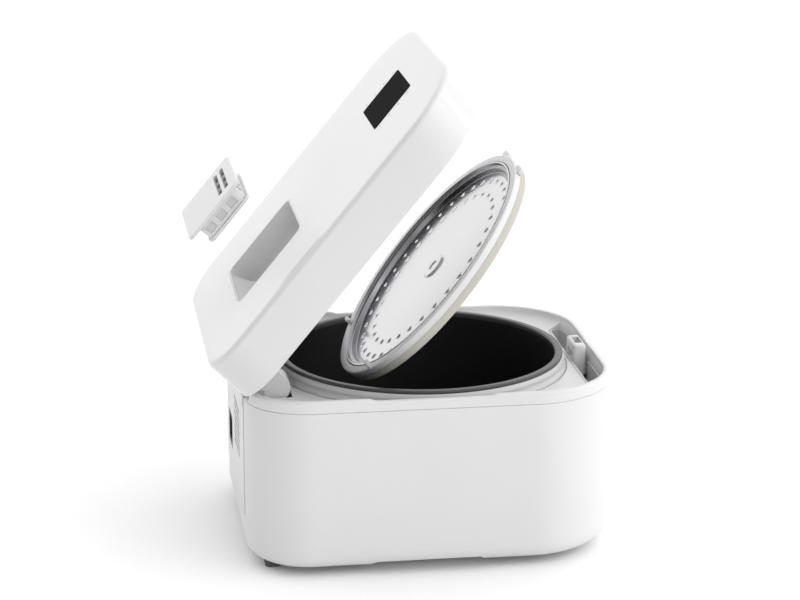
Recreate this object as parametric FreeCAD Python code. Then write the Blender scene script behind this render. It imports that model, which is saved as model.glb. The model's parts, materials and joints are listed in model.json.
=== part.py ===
# Countertop rice cooker, stored with its lid open, its steam cap drawn off and its inner lid drawn out.
# Millimetres, +Z up. Z = 0 is the table. The front is -Y, the hinge side +Y.
# The origin is on the table, under the axis of the pot. Lid pieces are drawn closed, then swung open.
import FreeCAD
import Part
import math
import os

V = FreeCAD.Vector

# ---- driving sizes -------------------------------------------------------------------------
BODY_HALF_W = 125.0
BODY_FRONT = -142.0
BODY_REAR = 150.0
R_FRONT = 70.0
R_REAR = 50.0
SHELL_Z0 = 6.0
SHELL_Z1 = 134.2
RIM_Z = 144.0
WALL = 3.0
DECK_Z = 133.0
FOOT_ROUND = 24.0
DOOR_HALF = 76.5
NOTCH_X = 98.0
NOTCH_Y0 = -30.0
NOTCH_Y1 = 52.0
NOTCH_H = 4.4
REAR_LOW_X = 93.0
REAR_LOW_Z = 136.4
COVER_IN = 147.2
COVER_BACK = 150.6
COVER_LIP_BACK = 151.2
COVER_TOP = 136.0

FLANGE_Z = 145.4
POT_R_IN = 108.5
POT_R_OUT = 110.5
FLANGE_R = 115.0
FLANGE_T = 2.6
POT_BOTTOM = 34.0
POST_R = 90.0

HINGE_Y = 143.5
HINGE_Z = 137.5
OPEN_DEG = 50.4
PIN_R = 3.0
EAR_X = 63.0
EAR_HALF = 10.0

CATCH_Y0 = -133.8
CATCH_Y1 = -123.6
CATCH_LIP = 2.6
CATCH_SPRING_Z = 113.0
SPRING_LUG_Y = -129.8

LID_Z0 = 145.0
LID_Z1 = 183.7
LID_HALF_W = 122.5
LID_FRONT = -147.5
LID_TOP_FRONT = -149.6
LID_REAR = 146.0
LID_R_FRONT = 62.0
LID_TOP_R_FRONT = 51.0
LID_R_REAR = 38.0
LID_WALL = 2.6
LINER_R = 116.6
CEILING_Z = 157.4

POCKET_HALF_X = 47.0
POCKET_Y0 = 21.5
POCKET_Y1 = 96.5
POCKET_FLOOR = 161.0
STEAM_Y = 52.0

RING_R = 107.9
RING_Z0 = 150.4
RING_Z1 = 156.0
INNER_OUT = 82.3
INNER_SHIFT = 12.0
TAB_X = 26.0
TAB_REACH = 108.8
TONGUE_X = 62.0

CAP_HALF_X = 46.0
CAP_Y0 = 22.5
CAP_Y1 = 81.5
CAP_OUT = 62.0

parts_dir = "parts"
os.makedirs(parts_dir, exist_ok=True)


# ---- helpers -------------------------------------------------------------------------------
def box(x0, x1, y0, y1, z0, z1):
    return Part.makeBox(x1 - x0, y1 - y0, z1 - z0, V(x0, y0, z0))


def rod(radius, z0, z1, x=0.0, y=0.0):
    return Part.makeCylinder(radius, z1 - z0, V(x, y, z0), V(0, 0, 1))


def rod_x(radius, x0, x1, y, z):
    return Part.makeCylinder(radius, x1 - x0, V(x0, y, z), V(1, 0, 0))


def rod_y(radius, y0, y1, x, z):
    return Part.makeCylinder(radius, y1 - y0, V(x, y0, z), V(0, 1, 0))


def ring(r_out, r_in, z0, z1, x=0.0, y=0.0):
    return rod(r_out, z0, z1, x, y).cut(rod(r_in, z0 - 1, z1 + 1, x, y))


def plan_wire(half_w, front, rear, r_front, r_rear, z):
    # Closed outline of four straights and four corner arcs.
    k = math.sqrt(0.5)
    corners = []
    corners.append((-half_w, front, r_front, 1, 1))
    corners.append((half_w, front, r_front, -1, 1))
    corners.append((half_w, rear, r_rear, -1, -1))
    corners.append((-half_w, rear, r_rear, 1, -1))
    edges = []
    starts = []
    ends = []
    for i, (cx, cy, r, sx, sy) in enumerate(corners):
        mx = cx + sx * r
        my = cy + sy * r
        on_x = V(cx, my, z)
        on_y = V(mx, cy, z)
        mid = V(mx - sx * r * k, my - sy * r * k, z)
        first, last = (on_x, on_y) if i % 2 == 0 else (on_y, on_x)
        edges.append(Part.Arc(first, mid, last).toShape())
        starts.append(first)
        ends.append(last)
    out = []
    for i in range(4):
        out.append(edges[i])
        out.append(Part.makeLine(ends[i], starts[(i + 1) % 4]))
    return Part.Wire(out)


def plan(half_w, front, rear, r_front, r_rear, z0, z1, inset=0.0):
    wire = plan_wire(half_w - inset, front + inset, rear - inset,
                     max(r_front - inset, 1.0), max(r_rear - inset, 1.0), z0)
    return Part.Face(wire).extrude(V(0, 0, z1 - z0))


def body_plan(z0, z1, inset=0.0):
    return plan(BODY_HALF_W, BODY_FRONT, BODY_REAR, R_FRONT, R_REAR, z0, z1, inset)


def lid_room(z0, z1, gap=0.0):
    # The straight-sided hollow of the lid.
    return plan(LID_HALF_W - 1.6 - LID_WALL, LID_FRONT + LID_WALL, LID_REAR - 3.0 - LID_WALL,
                LID_R_FRONT - 3.6, LID_R_REAR - 3.6, z0, z1, gap)


def round_rect(half_x, y0, y1, r, z0, z1):
    return plan(half_x, y0, y1, r, r, z0, z1)


def slab(wire_points, axis_vec):
    pts = [V(*p) for p in wire_points]
    pts.append(pts[0])
    return Part.Face(Part.makePolygon(pts)).extrude(axis_vec)


def edges_at(shape, test):
    picked = []
    for e in shape.Edges:
        c = e.BoundBox
        if test(c):
            picked.append(e)
    return picked


def soften(shape, radius, test):
    picked = edges_at(shape, test)
    if not picked:
        return shape
    return shape.makeFillet(radius, picked)


def at_z(level):
    return lambda c: abs(c.ZMin - level) < 0.01 and abs(c.ZMax - level) < 0.01


def revolve(points):
    pts = [V(r, 0, z) for r, z in points]
    pts.append(pts[0])
    return Part.Face(Part.makePolygon(pts)).revolve(V(0, 0, 0), V(0, 0, 1), 360)


def join(shapes):
    out = shapes[0]
    for s in shapes[1:]:
        out = out.fuse(s)
    return out.removeSplitter()


def bundle(shapes):
    return Part.makeCompound(shapes)


def coil_spring(radius, wire_r, pitch, height, base):
    helix = Part.makeHelix(pitch, height, radius)
    profile = Part.Wire(Part.makeCircle(wire_r, V(radius, 0, 0), V(0, 1, 0)))
    body = Part.Wire(helix).makePipeShell([profile], True, False)
    body.translate(base)
    return body


def opened(shape):
    # Swing a piece drawn in the closed lid to the stored open angle.
    s = shape.copy()
    s.rotate(V(0, HINGE_Y, HINGE_Z), V(1, 0, 0), -OPEN_DEG)
    return s


def moved(shape, dy, dz):
    s = shape.copy()
    s.translate(V(0, dy, dz))
    return s


def lid_piece(name, shape):
    save(name, opened(shape))


def inner_piece(name, shape):
    save(name, opened(moved(shape, -INNER_SHIFT, -INNER_OUT)))


def cap_piece(name, shape):
    save(name, opened(moved(shape, 0.0, CAP_OUT)))


def save(name, shape):
    shape.exportStep(os.path.join(parts_dir, name + ".step"))


# ---- outer body ----------------------------------------------------------------------------
def body_shell():
    outer = body_plan(SHELL_Z0, SHELL_Z1)
    outer = soften(outer, FOOT_ROUND, at_z(SHELL_Z0))
    inner = body_plan(SHELL_Z0 + WALL, SHELL_Z1 + 5, WALL)
    inner = soften(inner, FOOT_ROUND - WALL, at_z(SHELL_Z0 + WALL))
    shell = outer.cut(inner)
    # Opening for the base cover.
    shell = shell.cut(body_plan(SHELL_Z0 - 1, SHELL_Z0 + WALL + 1, 30.0))
    # Finger notches low in the middle of each side, each with its own roof.
    for side in (-1, 1):
        roof = box(NOTCH_X, 140, NOTCH_Y0 - 9, NOTCH_Y1 + 9, SHELL_Z0, SHELL_Z0 + NOTCH_H + WALL)
        notch = slab([(NOTCH_X, NOTCH_Y0 - 6, SHELL_Z0 - 1), (NOTCH_X, NOTCH_Y0, SHELL_Z0 + NOTCH_H),
                      (NOTCH_X, NOTCH_Y1, SHELL_Z0 + NOTCH_H), (NOTCH_X, NOTCH_Y1 + 6, SHELL_Z0 - 1)],
                     V(60, 0, 0))
        if side < 0:
            roof = roof.mirror(V(0, 0, 0), V(1, 0, 0))
            notch = notch.mirror(V(0, 0, 0), V(1, 0, 0))
        shell = join([shell, roof.common(outer)]).cut(notch)
    # Doorway in the rear wall for hinge, inlet and fan.
    shell = shell.cut(box(-DOOR_HALF, DOOR_HALF, BODY_REAR - 12, BODY_REAR + 5, 38, SHELL_Z1 + 1))
    # Window for the release button.
    shell = shell.cut(box(-17.4, 17.4, BODY_FRONT - 2, BODY_FRONT + 5, 107.6, 126.4))
    save("body_shell", shell)


def top_frame():
    band = body_plan(SHELL_Z1 + 0.4, RIM_Z).cut(body_plan(SHELL_Z1 - 1, RIM_Z + 1, 4.4))
    band = soften(band, 1.8, lambda c: at_z(RIM_Z)(c) and c.XLength + c.YLength > 1)
    skirt = body_plan(127, DECK_Z, WALL + 0.3).cut(body_plan(126, DECK_Z + 1, WALL + 2.3))
    deck = body_plan(DECK_Z - 2.4, SHELL_Z1 + 0.6, WALL + 0.3)
    deck = deck.cut(body_plan(DECK_Z, RIM_Z, 4.4))
    frame = join([band, skirt, deck])
    frame = frame.cut(rod(118.4, 120, 150))
    # Shallow dip of the rim at the middle of each side.
    for side in (-1, 1):
        dip = slab([(side * 112, -41, RIM_Z + 1), (side * 112, -36, RIM_Z - 1.6),
                    (side * 112, 54, RIM_Z - 1.6), (side * 112, 60, RIM_Z + 1)], V(side * 20, 0, 0))
        frame = frame.cut(dip)
    # Low rear rim, so the lid can swing back.
    frame = frame.cut(box(-REAR_LOW_X, REAR_LOW_X, 139, BODY_REAR + 5, REAR_LOW_Z, RIM_Z + 1))
    # Openings: front latch pocket, hinge wells.
    pocket = round_rect(80.4, -137.4, -121, 8, 120, 150).common(body_plan(119, 151, 5.1))
    frame = frame.cut(pocket.cut(rod(121, 100, 160)))
    for side in (-1, 1):
        frame = frame.cut(box(side * EAR_X - 13, side * EAR_X + 13, 111.5, BODY_REAR + 5, 120, 150))
    frame = frame.cut(box(-80, 80, 136, BODY_REAR + 5, 120, 150))
    save("top_frame", frame)


def latch_tray():
    outer = round_rect(80, -137.0, -121.4, 7.6, 116, DECK_Z).common(body_plan(115, DECK_Z + 1, 5.5))
    inner = round_rect(78.2, -135.6, -123.2, 5.8, 118, DECK_Z + 2).common(body_plan(117, DECK_Z + 3, 6.9))
    tray = outer.cut(inner).cut(rod(121.4, 100, 160))
    wall = ring(123.2, 121.4, 116, DECK_Z).common(outer)
    tray = join([tray, wall])
    # Slot for the hook and bed for the catch.
    tray = tray.cut(box(-15.4, 15.4, -135.6, -120.0, 110, 119))
    # Window in the front wall for the block, and a lug below that backs the springs.
    tray = tray.cut(box(-16.0, 16.0, -138.6, -134.0, 119, DECK_Z + 1))
    tray = join([tray, box(-20, 20, SPRING_LUG_Y, SPRING_LUG_Y + 1.5, 109, 116.2)])
    save("latch_tray", tray)


def pot_collar():
    profile = [(111.6, 96), (113.6, 96), (113.6, 128), (118.0, 128), (118.0, 138.5), (116.6, 140.0),
               (116.6, 142.7), (111.6, 142.7)]
    save("pot_collar", revolve(profile))


def heat_well():
    profile = [(112.0, 95.6), (114.2, 95.6), (114.2, 40), (106, 29.6), (22, 29.6), (22, 31.6),
               (105, 31.6), (112.0, 40.8)]
    save("heat_well", revolve(profile))


def base_cover():
    plate = body_plan(SHELL_Z0 + 0.2, SHELL_Z0 + 2.8, 30.4)
    plinth = ring(74, 70, 0.0, SHELL_Z0 + 1)
    plate = join([plate, plinth]).cut(rod(4.4, 0, 12))
    for i in range(11):
        y = -52 + i * 9.0
        if abs(y) < 4:
            continue
        half = 46 if abs(y) < 40 else 34
        plate = plate.cut(round_rect(half, y - 1.7, y + 1.7, 1.6, 0, 12))
    for x, y in post_spots():
        plate = plate.cut(rod(1.7, 0, 12, x, y)).cut(rod(3.3, 0, SHELL_Z0 + 1.6, x, y))
    save("base_cover", plate)


def foot_room():
    # The shell's rounded underside, which the rear feet meet from below.
    return soften(body_plan(SHELL_Z0 - 0.1, SHELL_Z1, -0.1), FOOT_ROUND, at_z(SHELL_Z0 - 0.1))


def feet():
    front = []
    for x in (-70, 70):
        front.append(rod(9.0, 0.0, SHELL_Z0 + 0.1, x, -88))
    save("front_feet", bundle(front))
    rear = []
    for x in (-84, 84):
        foot = round_rect(9, 124, 136, 4, 0.0, 10.0).translated(V(x, 0, 0)).cut(foot_room())
        rear.append(foot)
    save("rear_feet", bundle(rear))


def rear_cover():
    half = DOOR_HALF - 0.4
    plate = box(-half, half, COVER_IN, COVER_BACK, 38.4, 131.2)
    # A thin lip rises behind the hinge knuckles.
    lip = box(-half, half, COVER_LIP_BACK - 1.5, COVER_LIP_BACK, 128.0, COVER_TOP)
    sill = join([box(-half, half, 145.0, COVER_IN + 0.1, 38.4, 41), box(-73, 73, 145.0, 146.5, 35, 41)])
    cover = join([plate, lip, sill])
    # Flanges that bear on the inside of the shell beside the doorway.
    for side in (-1, 1):
        x0, x1 = sorted((side * 73, side * half))
        f0, f1 = sorted((side * 73, side * 79))
        cover = join([cover, box(x0, x1, 145.0, COVER_IN + 0.1, 38.4, 109), box(f0, f1, 145.0, 146.5, 38.4, 109)])
    # Inlet opening and fan grille.
    cover = cover.cut(box(30.0, 62.0, 140, 155, 56, 84))
    for i in range(7):
        cover = cover.cut(box(-42, 6, 140, 155, 73 + i * 6.0, 76 + i * 6.0))
    # Two shallow upright grooves beside the grille.
    for x in (-56, -49):
        cover = cover.cut(box(x - 0.6, x + 0.6, COVER_BACK - 0.8, 155, 96, 126))
    save("rear_cover", cover)


# ---- pot and heating -----------------------------------------------------------------------
def inner_pot():
    z0 = POT_BOTTOM
    zf = FLANGE_Z
    pts = [(0, z0), (88, z0), (100, z0 + 4), (107.5, z0 + 13), (POT_R_OUT, z0 + 26),
           (POT_R_OUT, zf - FLANGE_T), (FLANGE_R - 0.6, zf - FLANGE_T), (FLANGE_R, zf - FLANGE_T + 0.6),
           (FLANGE_R, zf - 0.9), (FLANGE_R - 0.9, zf), (POT_R_IN + 1.0, zf), (POT_R_IN, zf - 1.0),
           (POT_R_IN, z0 + 26.4), (105.6, z0 + 14.2), (98.8, z0 + 6.0), (87.6, z0 + 2.2), (0, z0 + 2.2)]
    save("inner_pot", revolve(pts))


def post_spots():
    spots = []
    for i in range(6):
        a = math.radians(60 * i + 30)
        spots.append((POST_R * math.cos(a), POST_R * math.sin(a)))
    return spots


def coil_carrier():
    plate = ring(98, 24, 22.6, 25.0)
    arms = []
    for i in range(6):
        arm = box(92, 108, -6, 6, 22.6, 25.0)
        arm.rotate(V(0, 0, 0), V(0, 0, 1), 60 * i + 30)
        arms.append(arm)
    posts = [rod(3.6, SHELL_Z0 + 2.9, 22.7, x, y) for x, y in post_spots()]
    carrier = join([plate] + arms + posts)
    for x, y in post_spots():
        carrier = carrier.cut(rod(1.4, SHELL_Z0, 19.0, x, y))
    save("coil_carrier", carrier)


def induction_coil():
    turns = []
    for i in range(11):
        r = 34 + 5.6 * i
        turns.append(Part.makeTorus(r, 1.9, V(0, 0, 27.2), V(0, 0, 1)))
    save("induction_coil", bundle(turns))


def ferrites():
    bars = []
    for i in range(6):
        bar = box(30, 90, -5, 5, 18.0, 22.5)
        bar.rotate(V(0, 0, 0), V(0, 0, 1), 60 * i)
        bars.append(bar)
    save("ferrite_bars", bundle(bars))


def sensor():
    sleeve = ring(13.0, 10.6, 9.0, 30.4)
    floor_disc = ring(13.0, 4.0, 9.0, 11.0)
    save("sensor_sleeve", join([sleeve, floor_disc]))
    puck = rod(10.2, 26.4, 33.6)
    stem = rod(3.2, 8.95, 26.5)
    save("sensor_puck", join([puck, stem]))
    save("sensor_spring", coil_spring(6.6, 0.6, 3.4, 14.0, V(0, 0, 11.7)))


# The boards stand upright in the corners outside the round heat well.
def electronics():
    board = box(-62, -60.4, 128.6, 146.0, 44, 106)
    save("power_board", board)
    caps = [rod_x(6.5, -60.3, -42, 137, 96), rod_x(5.0, -60.3, -46, 136, 82)]
    save("board_capacitors", bundle(caps))
    fins = [box(-60.3, -58.3, 130.5, 145.0, 48, 74)]
    for i in range(6):
        fins.append(box(-58.5, -47.0, 130.5, 145.0, 48 + i * 4.8, 50 + i * 4.8))
    save("heat_sink", join(fins))


def fan():
    x = -18.0
    z = 92.0
    y0 = 135.0
    y1 = 145.0
    frame = box(x - 20, x + 20, y0, y1, z - 20, z + 20)
    frame = frame.cut(rod_y(18.2, y0 - 1, y1 + 1, x, z))
    hub = rod_y(6.4, y0, y0 + 2, x, z)
    spokes = []
    for i in range(3):
        s = box(x - 0.9, x + 0.9, y0, y0 + 1.6, z + 5, z + 18.6)
        s.rotate(V(x, 0, z), V(0, 1, 0), 120 * i)
        spokes.append(s)
    axle = rod_y(1.5, y0 + 1.8, y0 + 7.6, x, z)
    save("fan_frame", join([frame, hub, axle] + spokes))
    rotor = rod_y(6.4, y0 + 2.6, y1 - 1, x, z)
    blades = []
    for i in range(7):
        b = box(x - 0.7, x + 0.7, y0 + 3.0, y1 - 1.6, z + 5.8, z + 17.4)
        b.rotate(V(x, y0 + 5.5, z + 11), V(0, 0, 1), 32)
        b.rotate(V(x, 0, z), V(0, 1, 0), 360.0 / 7 * i)
        blades.append(b)
    rotor = join([rotor] + blades).common(rod_y(17.4, y0, y1, x, z))
    rotor = rotor.cut(rod_y(1.56, y0, y0 + 7.8, x, z))
    save("fan_rotor", rotor)


def inlet():
    housing = box(31, 61, 124.8, COVER_BACK - 0.2, 57, 83)
    cavity = box(34, 58, 132.8, COVER_BACK + 2, 60, 80)
    housing = housing.cut(cavity)
    pins = []
    for px, pz in ((40, 67), (52, 67), (46, 74)):
        pins.append(box(px - 1.0, px + 1.0, 128.8, 145.8, pz - 2.4, pz + 2.4))
        housing = housing.cut(pins[-1])
    save("inlet_socket", housing)
    save("inlet_pins", bundle(pins))


# ---- hinge and catch -----------------------------------------------------------------------

def hinge():
    brackets = []
    for side in (-1, 1):
        for off in (-11.4, 11.4):
            x = side * EAR_X + off
            plate = box(x - 1.0, x + 1.0, 133.5, 147.1, 112, 142.5)
            brackets.append(plate)
    # The inner plates are tied by a cross bar under the hinge.
    bar = box(-52.7, 52.7, 139, 146.8, 112, 115)
    ties = [box(-75.4, -50.6, 133.5, 146.8, 110.2, 112.1), box(50.6, 75.4, 133.5, 146.8, 110.2, 112.1)]
    bracket = join(brackets + [bar] + ties)
    bracket = bracket.cut(rod_x(PIN_R, -90, 90, HINGE_Y, HINGE_Z))
    bracket = bracket.cut(box(-80, 80, 120, 139.2, 138.8, 150))
    save("hinge_bracket", bracket)
    save("hinge_pin", rod_x(PIN_R, -76.5, 76.5, HINGE_Y, HINGE_Z))
    springs = []
    for side in (-1, 1):
        coil = coil_spring(4.9, 0.75, 2.1, 14.7, V(0, 0, 0))
        coil.rotate(V(0, 0, 0), V(0, 1, 0), 90)
        coil.translate(V(-7.35 + side * 36, HINGE_Y, HINGE_Z))
        springs.append(coil)
    save("lid_springs", bundle(springs))


def hinge_ears():
    # Each ear hangs from the lid, holds the pin and ends in a rounded nose ahead of it.
    ears = []
    for side in (-1, 1):
        x0 = side * EAR_X - EAR_HALF
        x1 = side * EAR_X + EAR_HALF
        knuckle = rod_x(5.8, x0, x1, HINGE_Y, HINGE_Z)
        nose = rod_x(11.0, x0, x1, 129.0, 124.0)
        shank = box(x0, x1, 118.0, 140.0, 124.0, 151.0)
        neck = box(x0, x1, 130.0, HINGE_Y + 1.0, HINGE_Z - 5.8, HINGE_Z + 5.8)
        ear = join([knuckle, nose, shank, neck])
        ears.append(ear.cut(rod_x(PIN_R + 0.05, x0 - 1, x1 + 1, HINGE_Y, HINGE_Z)))
    lid_piece("hinge_ears", bundle(ears))


def catch():
    throat_back = CATCH_Y1 - CATCH_LIP
    block = box(-15.0, 15.0, CATCH_Y0, CATCH_Y1, 120.0, 147.0)
    block = soften(block, 3.0, lambda c: c.ZMin > 146.9 and c.XLength > 20)
    mouth = box(-9.0, 9.0, CATCH_Y0 + 1.6, CATCH_Y1 + 4, 132.0, 140.0)
    throat = box(-9.0, 9.0, CATCH_Y0 + 1.6, throat_back, 131.9, 150)
    save("catch_block", block.cut(mouth).cut(throat))
    cap_back = BODY_FRONT + 4.4
    cap = box(-17.0, 17.0, BODY_FRONT + 0.6, cap_back, 108.0, 126.0)
    cap = soften(cap, 1.0, lambda c: c.YMax < BODY_FRONT + 0.7)
    arm = box(-8.0, 8.0, cap_back - 0.1, CATCH_Y0, 120.4, 125.6)
    save("release_button", join([cap, arm]))
    # The springs press the button forward, away from the tray's lug.
    springs = []
    for x in (-12.0, 12.0):
        sp = coil_spring(2.0, 0.4, 1.3, SPRING_LUG_Y - cap_back - 1.1, V(0, 0, 0))
        sp.rotate(V(0, 0, 0), V(1, 0, 0), -90)
        sp.translate(V(x, cap_back + 0.55, CATCH_SPRING_Z))
        springs.append(sp)
    save("catch_springs", bundle(springs))


# ---- lid -----------------------------------------------------------------------------------
def lid_shell():
    low = plan_wire(LID_HALF_W, LID_FRONT, LID_REAR, LID_R_FRONT, LID_R_REAR, LID_Z0)
    high = plan_wire(LID_HALF_W - 1.6, LID_TOP_FRONT, LID_REAR - 3.0, LID_TOP_R_FRONT, LID_R_REAR - 1, LID_Z1)
    outer = Part.makeLoft([low, high], True, True)
    outer = soften(outer, 4.0, at_z(LID_Z1))
    shell = outer.cut(lid_room(LID_Z0 - 1, LID_Z1 - LID_WALL))
    shell = shell.cut(round_rect(POCKET_HALF_X + 1.6, POCKET_Y0 - 1.6, POCKET_Y1 + 1.6, 7.6, 175, 190))
    shell = shell.cut(round_rect(34.4, -117.2, -72.8, 2.6, 175, 190))
    lid_piece("lid_shell", shell)


def lid_liner():
    plate = lid_room(LID_Z0 + 0.5, LID_Z0 + 3.0, 0.2)
    wall = rod(LINER_R + 1.6, LID_Z0 + 0.5, CEILING_Z + 2.0)
    liner = join([plate, wall])
    liner = liner.cut(rod(LINER_R, LID_Z0 - 1, CEILING_Z))
    liner = liner.cut(rod(11.4, 150, 165, 0, STEAM_Y))
    for side in (-1, 1):
        liner = liner.cut(box(side * EAR_X - 10.3, side * EAR_X + 10.3, 117.7, 150, 140, 152))
        liner = liner.cut(box(side * TONGUE_X - 7, side * TONGUE_X + 7, 78, 90, 150, 165))
    liner = liner.cut(box(-17.0, 17.0, -139.3, -119.3, 140, 152).cut(rod(LINER_R + 1.6, 100, 170)))
    lid_piece("lid_liner", liner)


def lid_fittings():
    clips = []
    for x in (-TAB_X, TAB_X):
        clips.append(box(x - 5, x + 5, -112.0, -110.4, 148.0, CEILING_Z))
        clips.append(box(x - 6, x + 6, -112.0, -106.0, CEILING_Z - 1.3, CEILING_Z))
    lid_piece("inner_lid_clips", bundle([join(clips[0:2]), join(clips[2:4])]))
    foot = box(-21, 21, -141.0, -122.0, 148.1, 151.0)
    stem = box(-7.6, 7.6, -131.4, -129.2, 133.0, 148.3)
    barb = slab([(-7.6, -129.4, 133.0), (-7.6, -127.0, 136.0), (-7.6, -127.0, 138.6), (-7.6, -129.4, 138.6)],
                V(15.2, 0, 0))
    lid_piece("lid_hook", join([foot, stem, barb]))
    seal = ring(11.2, 7.6, 149.6, POCKET_FLOOR - 1.6, 0, STEAM_Y)
    lid_piece("steam_seal", seal)


def display():
    lid_piece("display_window", round_rect(34.2, -117.0, -73.0, 2.4, LID_Z1 - 1.8, LID_Z1 + 0.15))
    module = box(-31, 31, -114.0, -76.0, LID_Z1 - 6.6, LID_Z1 - 2.0)
    lid_piece("display_module", module)
    board = round_rect(56, -138.0, -52.0, 4, 171.6, 173.2)
    for x in (-50, 50):
        for y in (-132, -58):
            board = board.cut(rod(1.6, 170, 175, x, y))
    lid_piece("control_board", board)
    chips = [box(-14, 2, -98, -82, 168.8, 171.5), box(-40, -28, -76, -66, 169.6, 171.5),
             box(22, 40, -120, -108, 168.4, 171.5)]
    lid_piece("board_chips", bundle(chips))
    pads = []
    for x in (-46, -40.5, 40.5, 46):
        for y in (-108, -95, -82):
            pads.append(rod(2.2, 173.3, LID_Z1 - LID_WALL - 0.1, x, y))
    lid_piece("touch_springs", bundle(pads))
    posts = []
    for x in (-50, 50):
        for y in (-132, -58):
            post = rod(3.0, 173.3, LID_Z1 - LID_WALL, x, y)
            posts.append(post)
            posts.append(rod(3.0, 169.8, 171.5, x, y).fuse(rod(1.5, 171.4, 173.3, x, y)))
    lid_piece("board_posts", bundle(posts))


def steam_pocket():
    t = 1.5
    outer = round_rect(POCKET_HALF_X + t, POCKET_Y0 - t, POCKET_Y1 + t, 7.5, POCKET_FLOOR - t, LID_Z1)
    inner = round_rect(POCKET_HALF_X, POCKET_Y0, POCKET_Y1, 6.0, POCKET_FLOOR, LID_Z1 + 2)
    basin = outer.cut(inner)
    # Scooped finger ramp at the rear end.
    ramp = slab([(-60, POCKET_Y1 + 1, POCKET_FLOOR - 0.5), (-60, 84.0, POCKET_FLOOR - 0.5),
                 (-60, 86.5, 168.0), (-60, POCKET_Y1 - 2.6, 178.0), (-60, POCKET_Y1 + 1, 180.0)], V(120, 0, 0))
    basin = join([basin, ramp.common(round_rect(POCKET_HALF_X + 0.5, POCKET_Y0, POCKET_Y1 + 0.5, 6.5,
                                                POCKET_FLOOR - 0.4, LID_Z1))])
    # Raised ribs across the floor either side of the steam port.
    ribs = [box(-38, -18, 31, 33, POCKET_FLOOR - 0.1, POCKET_FLOOR + 2.4),
            box(18, 38, 31, 33, POCKET_FLOOR - 0.1, POCKET_FLOOR + 2.4)]
    basin = join([basin] + ribs)
    basin = basin.cut(rod(7.6, 150, 170, 0, STEAM_Y))
    lid_piece("steam_pocket", basin)


# ---- inner lid -----------------------------------------------------------------------------
def inner_lid():
    body = revolve([(99.0, 151.1), (104.5, 151.1), (104.5, RING_Z0), (RING_R, RING_Z0), (RING_R, RING_Z1 - 1.4),
                    (RING_R - 1.4, RING_Z1), (101.0, RING_Z1), (99.0, 154.6)])
    tabs = []
    for x in (-TAB_X, TAB_X):
        tab = round_rect(8, -TAB_REACH, -96, 2, RING_Z0 + 0.4, RING_Z0 + 4.2)
        tab.translate(V(x, 0, 0))
        tabs.append(tab.cut(rod(104.6, 140, 160)))
    for side in (-1, 1):
        tongue = box(side * TONGUE_X - 5, side * TONGUE_X + 5, 82.6, 85.8, RING_Z1 - 1.2, RING_Z1 + 4.6)
        tabs.append(tongue.cut(rod(100.2, 140, 160)))
    inner_piece("inner_lid_ring", join([body] + tabs))

    plate = revolve([(0, 148.4), (60, 147.8), (96.6, 147.0), (98.4, 147.6), (98.8, 150.4), (104.3, 150.4),
                     (104.3, 151.0), (98.2, 151.0), (97.8, 148.2), (96.4, 147.7), (60, 148.5), (0, 149.1)])
    # Steam ports under the steam seal and pressure slots.
    for k in range(4):
        a = math.radians(90 * k + 45)
        plate = plate.cut(rod(1.6, 140, 160, 4.2 * math.cos(a), STEAM_Y + 4.2 * math.sin(a)))
    inner_piece("inner_lid_plate", plate)

    gasket = revolve([(100.5, 150.3), (106.6, 150.3), (107.0, 147.0), (107.2, 144.4), (106.4, 143.8),
                      (104.8, 144.2), (104.4, 147.4), (100.5, 148.4)])
    inner_piece("inner_lid_gasket", gasket)

    knob = revolve([(0, 149.2), (6.0, 149.2), (6.0, 150.2), (4.6, 151.0), (0, 151.2)])
    inner_piece("inner_lid_rivet", knob)


# ---- steam cap -----------------------------------------------------------------------------
def steam_cap():
    cover = round_rect(CAP_HALF_X, CAP_Y0, CAP_Y1, 5.0, LID_Z1 - 2.6, LID_Z1)
    cover = soften(cover, 0.8, at_z(LID_Z1))
    for y in (31.0, 38.2):
        for i in (-1, 0, 1):
            cover = cover.cut(round_rect(9.2, y, y + 4.2, 1.2, 175, 190).translated(V(i * 21.4, 0, 0)))
    cap_piece("cap_cover", cover)

    z0 = 168.8
    z1 = LID_Z1 - 2.7
    outer = round_rect(39.0, 29.0, 72.0, 5.0, z0, z1)
    inner = round_rect(37.2, 30.8, 70.2, 3.4, z0 - 1, z1 + 1)
    wall = outer.cut(inner)
    for x0 in (-31, -14.5, 2, 18.5):
        wall = wall.cut(box(x0, x0 + 12.5, 20, 80, z0 + 2.6, z1 - 3.2))
    for y0 in (35.0, 47.5, 60.0):
        wall = wall.cut(box(-60, 60, y0, y0 + 8.0, z0 + 2.6, z1 - 3.2))
    cap_piece("cap_box", wall)

    base = round_rect(41.0, 27.0, 74.0, 6.0, 166.2, 168.7)
    base = soften(base, 0.7, at_z(166.2))
    base = base.cut(rod(7.4, 160, 170, 0, STEAM_Y))
    for y in (34.0, 66.0):
        base = base.cut(round_rect(16, y, y + 3.0, 1.4, 160, 170))
    cap_piece("cap_base", base)

    baffle = ring(15.0, 13.4, 168.8, 176.0, 0, STEAM_Y)
    cap_piece("cap_baffle", baffle)
    seal = ring(11.8, 7.6, POCKET_FLOOR + 0.2, 166.1, 0, STEAM_Y)
    cap_piece("cap_seal", seal)


def base_screws():
    screws = []
    for x, y in post_spots():
        head = rod(2.9, SHELL_Z0 + 0.3, SHELL_Z0 + 1.6, x, y)
        shank = rod(1.35, SHELL_Z0 + 1.5, 18.0, x, y)
        drive = box(x - 1.9, x + 1.9, y - 0.4, y + 0.4, SHELL_Z0, SHELL_Z0 + 0.8)
        cross = box(x - 0.4, x + 0.4, y - 1.9, y + 1.9, SHELL_Z0, SHELL_Z0 + 0.8)
        screws.append(head.fuse(shank).cut(drive).cut(cross))
    save("base_screws", bundle(screws))


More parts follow.
